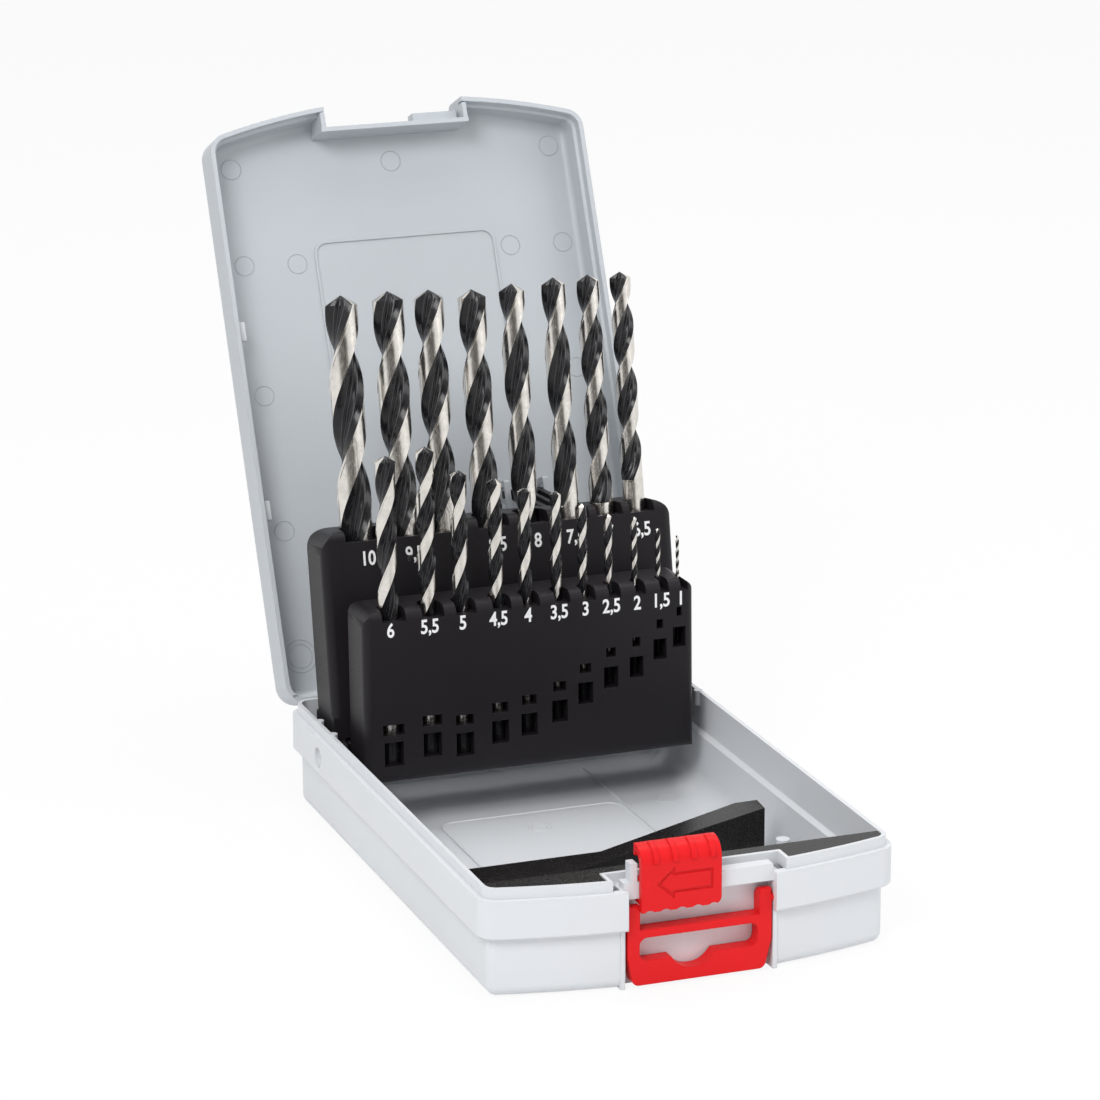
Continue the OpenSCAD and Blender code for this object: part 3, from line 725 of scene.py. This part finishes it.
def add_math(tree, operation, first, second):
    """A maths node over two sockets."""
    node = tree.nodes.new("ShaderNodeMath")
    node.operation = operation
    tree.links.new(first, node.inputs[0])
    tree.links.new(second, node.inputs[1])
    return node.outputs[0]


def add_mix(tree, share, first, second):
    """Mixes two shaders by a share."""
    mix = tree.nodes.new("ShaderNodeMixShader")
    for slot, socket in enumerate((share, first, second)):
        tree.links.new(socket, mix.inputs[slot])
    return mix.outputs[0]


def add_seen(tree):
    """The light path's outputs, and 1 for rays from the camera or from a glossy surface."""
    rays = tree.nodes.new("ShaderNodeLightPath").outputs
    return rays, add_math(tree, "MAXIMUM", rays["Is Camera Ray"], rays["Is Glossy Ray"])


def white_floor():
    """A pale floor, with plain white mixed into what the camera and reflections see of it."""
    material, shader = new_material("floor_white")
    set_inputs(shader, {"Base Color": (0.86, 0.86, 0.86, 1), "Roughness": 0.9})
    tree = material.node_tree
    _, seen = add_seen(tree)
    amount = tree.nodes.new("ShaderNodeValue").outputs[0]
    amount.default_value = FLOOR_WHITE
    white = tree.nodes.new("ShaderNodeEmission")
    share = add_math(tree, "MULTIPLY", seen, amount)
    surface = add_mix(tree, share, shader.outputs[0], white.outputs[0])
    tree.links.new(surface, tree.nodes["Material Output"].inputs["Surface"])
    bm = bmesh.new()
    bmesh.ops.create_grid(bm, x_segments=2, y_segments=2, size=FLOOR_SIZE)
    bmesh.ops.translate(bm, verts=bm.verts, vec=(0, 0, -FLOOR_DROP))
    floor = bpy.data.objects.new("floor", finish_mesh("floor", bm))
    floor.data.materials.append(material)
    bpy.context.scene.collection.objects.link(floor)


def studio_world():
    """Even white room, with a darker gap towards the front for metal to reflect."""
    world = bpy.data.worlds.new("studio")
    bpy.context.scene.world = world
    world.use_nodes = True
    tree = world.node_tree
    tree.nodes.clear()
    add, link = tree.nodes.new, tree.links.new
    rays, seen = add_seen(tree)
    dot = add("ShaderNodeVectorMath")
    dot.operation = "DOT_PRODUCT"
    dot.inputs[1].default_value = DARK_GAP
    link(add("ShaderNodeTexCoord").outputs["Generated"], dot.inputs[0])
    gap = add("ShaderNodeMapRange")
    gap.interpolation_type = "SMOOTHSTEP"
    set_inputs(gap, {"From Min": GAP_START, "From Max": GAP_FULL})
    link(dot.outputs["Value"], gap.inputs["Value"])
    in_gap = add_math(tree, "MULTIPLY", gap.outputs["Result"], rays["Is Glossy Ray"])
    colour = add("ShaderNodeMix")
    colour.data_type = "RGBA"
    set_inputs(colour, {"A": (1, 1, 1, 1), "B": GAP_COLOUR})
    link(in_gap, colour.inputs["Factor"])
    seen_back = add("ShaderNodeBackground")
    link(colour.outputs["Result"], seen_back.inputs["Color"])
    lit_back = add("ShaderNodeBackground")
    set_inputs(lit_back, {"Color": ROOM_TINT, "Strength": AMBIENT})
    share = add_math(tree, "MAXIMUM", seen, rays["Is Transmission Ray"])
    mixed = add_mix(tree, share, lit_back.outputs[0], seen_back.outputs[0])
    link(mixed, add("ShaderNodeOutputWorld").inputs["Surface"])


white_floor()
studio_world()

# ---- lamps and camera, in metres -------------------------------------------

# Lamps: name, place, target, side and watts
LAMPS = [
    ("key", (-0.9, -0.9, 1.2), (0, 0, 0.05), 0.7, 15.0),
    ("fill", (1.1, -0.7, 0.7), (0, 0, 0.05), 0.8, 5.0),
    ("top", (0.1, 0.2, 1.4), (0, 0.05, 0), 0.8, 7.0),
]
# The camera, fitted to the photograph: yaw, tilt up from straight down, and roll, in degrees
CAMERA_PLACE = (-0.4244, -1.1282, 0.4502)
CAMERA_YAW, CAMERA_TILT, CAMERA_ROLL = -20.34, 73.5, -0.2
CAMERA_LENS, CAMERA_SENSOR = 146.52, 36.0
CAMERA_SHIFT = (-0.0069, 0.006)
CAMERA_CLIP = (0.05, 30.0)


def area_lamp(name, place, target, side, watts):
    lamp = bpy.data.lights.new(name, "AREA")
    lamp.shape = "RECTANGLE"
    lamp.size = side
    lamp.size_y = side
    lamp.energy = watts
    obj = bpy.data.objects.new(name, lamp)
    bpy.context.scene.collection.objects.link(obj)
    obj.location = place
    obj.rotation_euler = (Vector(target) - Vector(place)).to_track_quat("-Z", "Y").to_euler()


def photograph_camera():
    camera = bpy.data.cameras.new("camera")
    camera.lens = CAMERA_LENS
    camera.sensor_width = CAMERA_SENSOR
    camera.shift_x, camera.shift_y = CAMERA_SHIFT
    camera.clip_start, camera.clip_end = CAMERA_CLIP
    obj = bpy.data.objects.new("camera", camera)
    bpy.context.scene.collection.objects.link(obj)
    obj.matrix_world = (
        Matrix.Translation(CAMERA_PLACE)
        @ Matrix.Rotation(math.radians(CAMERA_YAW), 4, "Z")
        @ Matrix.Rotation(math.radians(CAMERA_TILT), 4, "X")
        @ Matrix.Rotation(math.radians(CAMERA_ROLL), 4, "Z")
    )
    bpy.context.scene.camera = obj


for lamp_row in LAMPS:
    area_lamp(*lamp_row)
photograph_camera()
bpy.context.scene.view_settings.view_transform = "Standard"
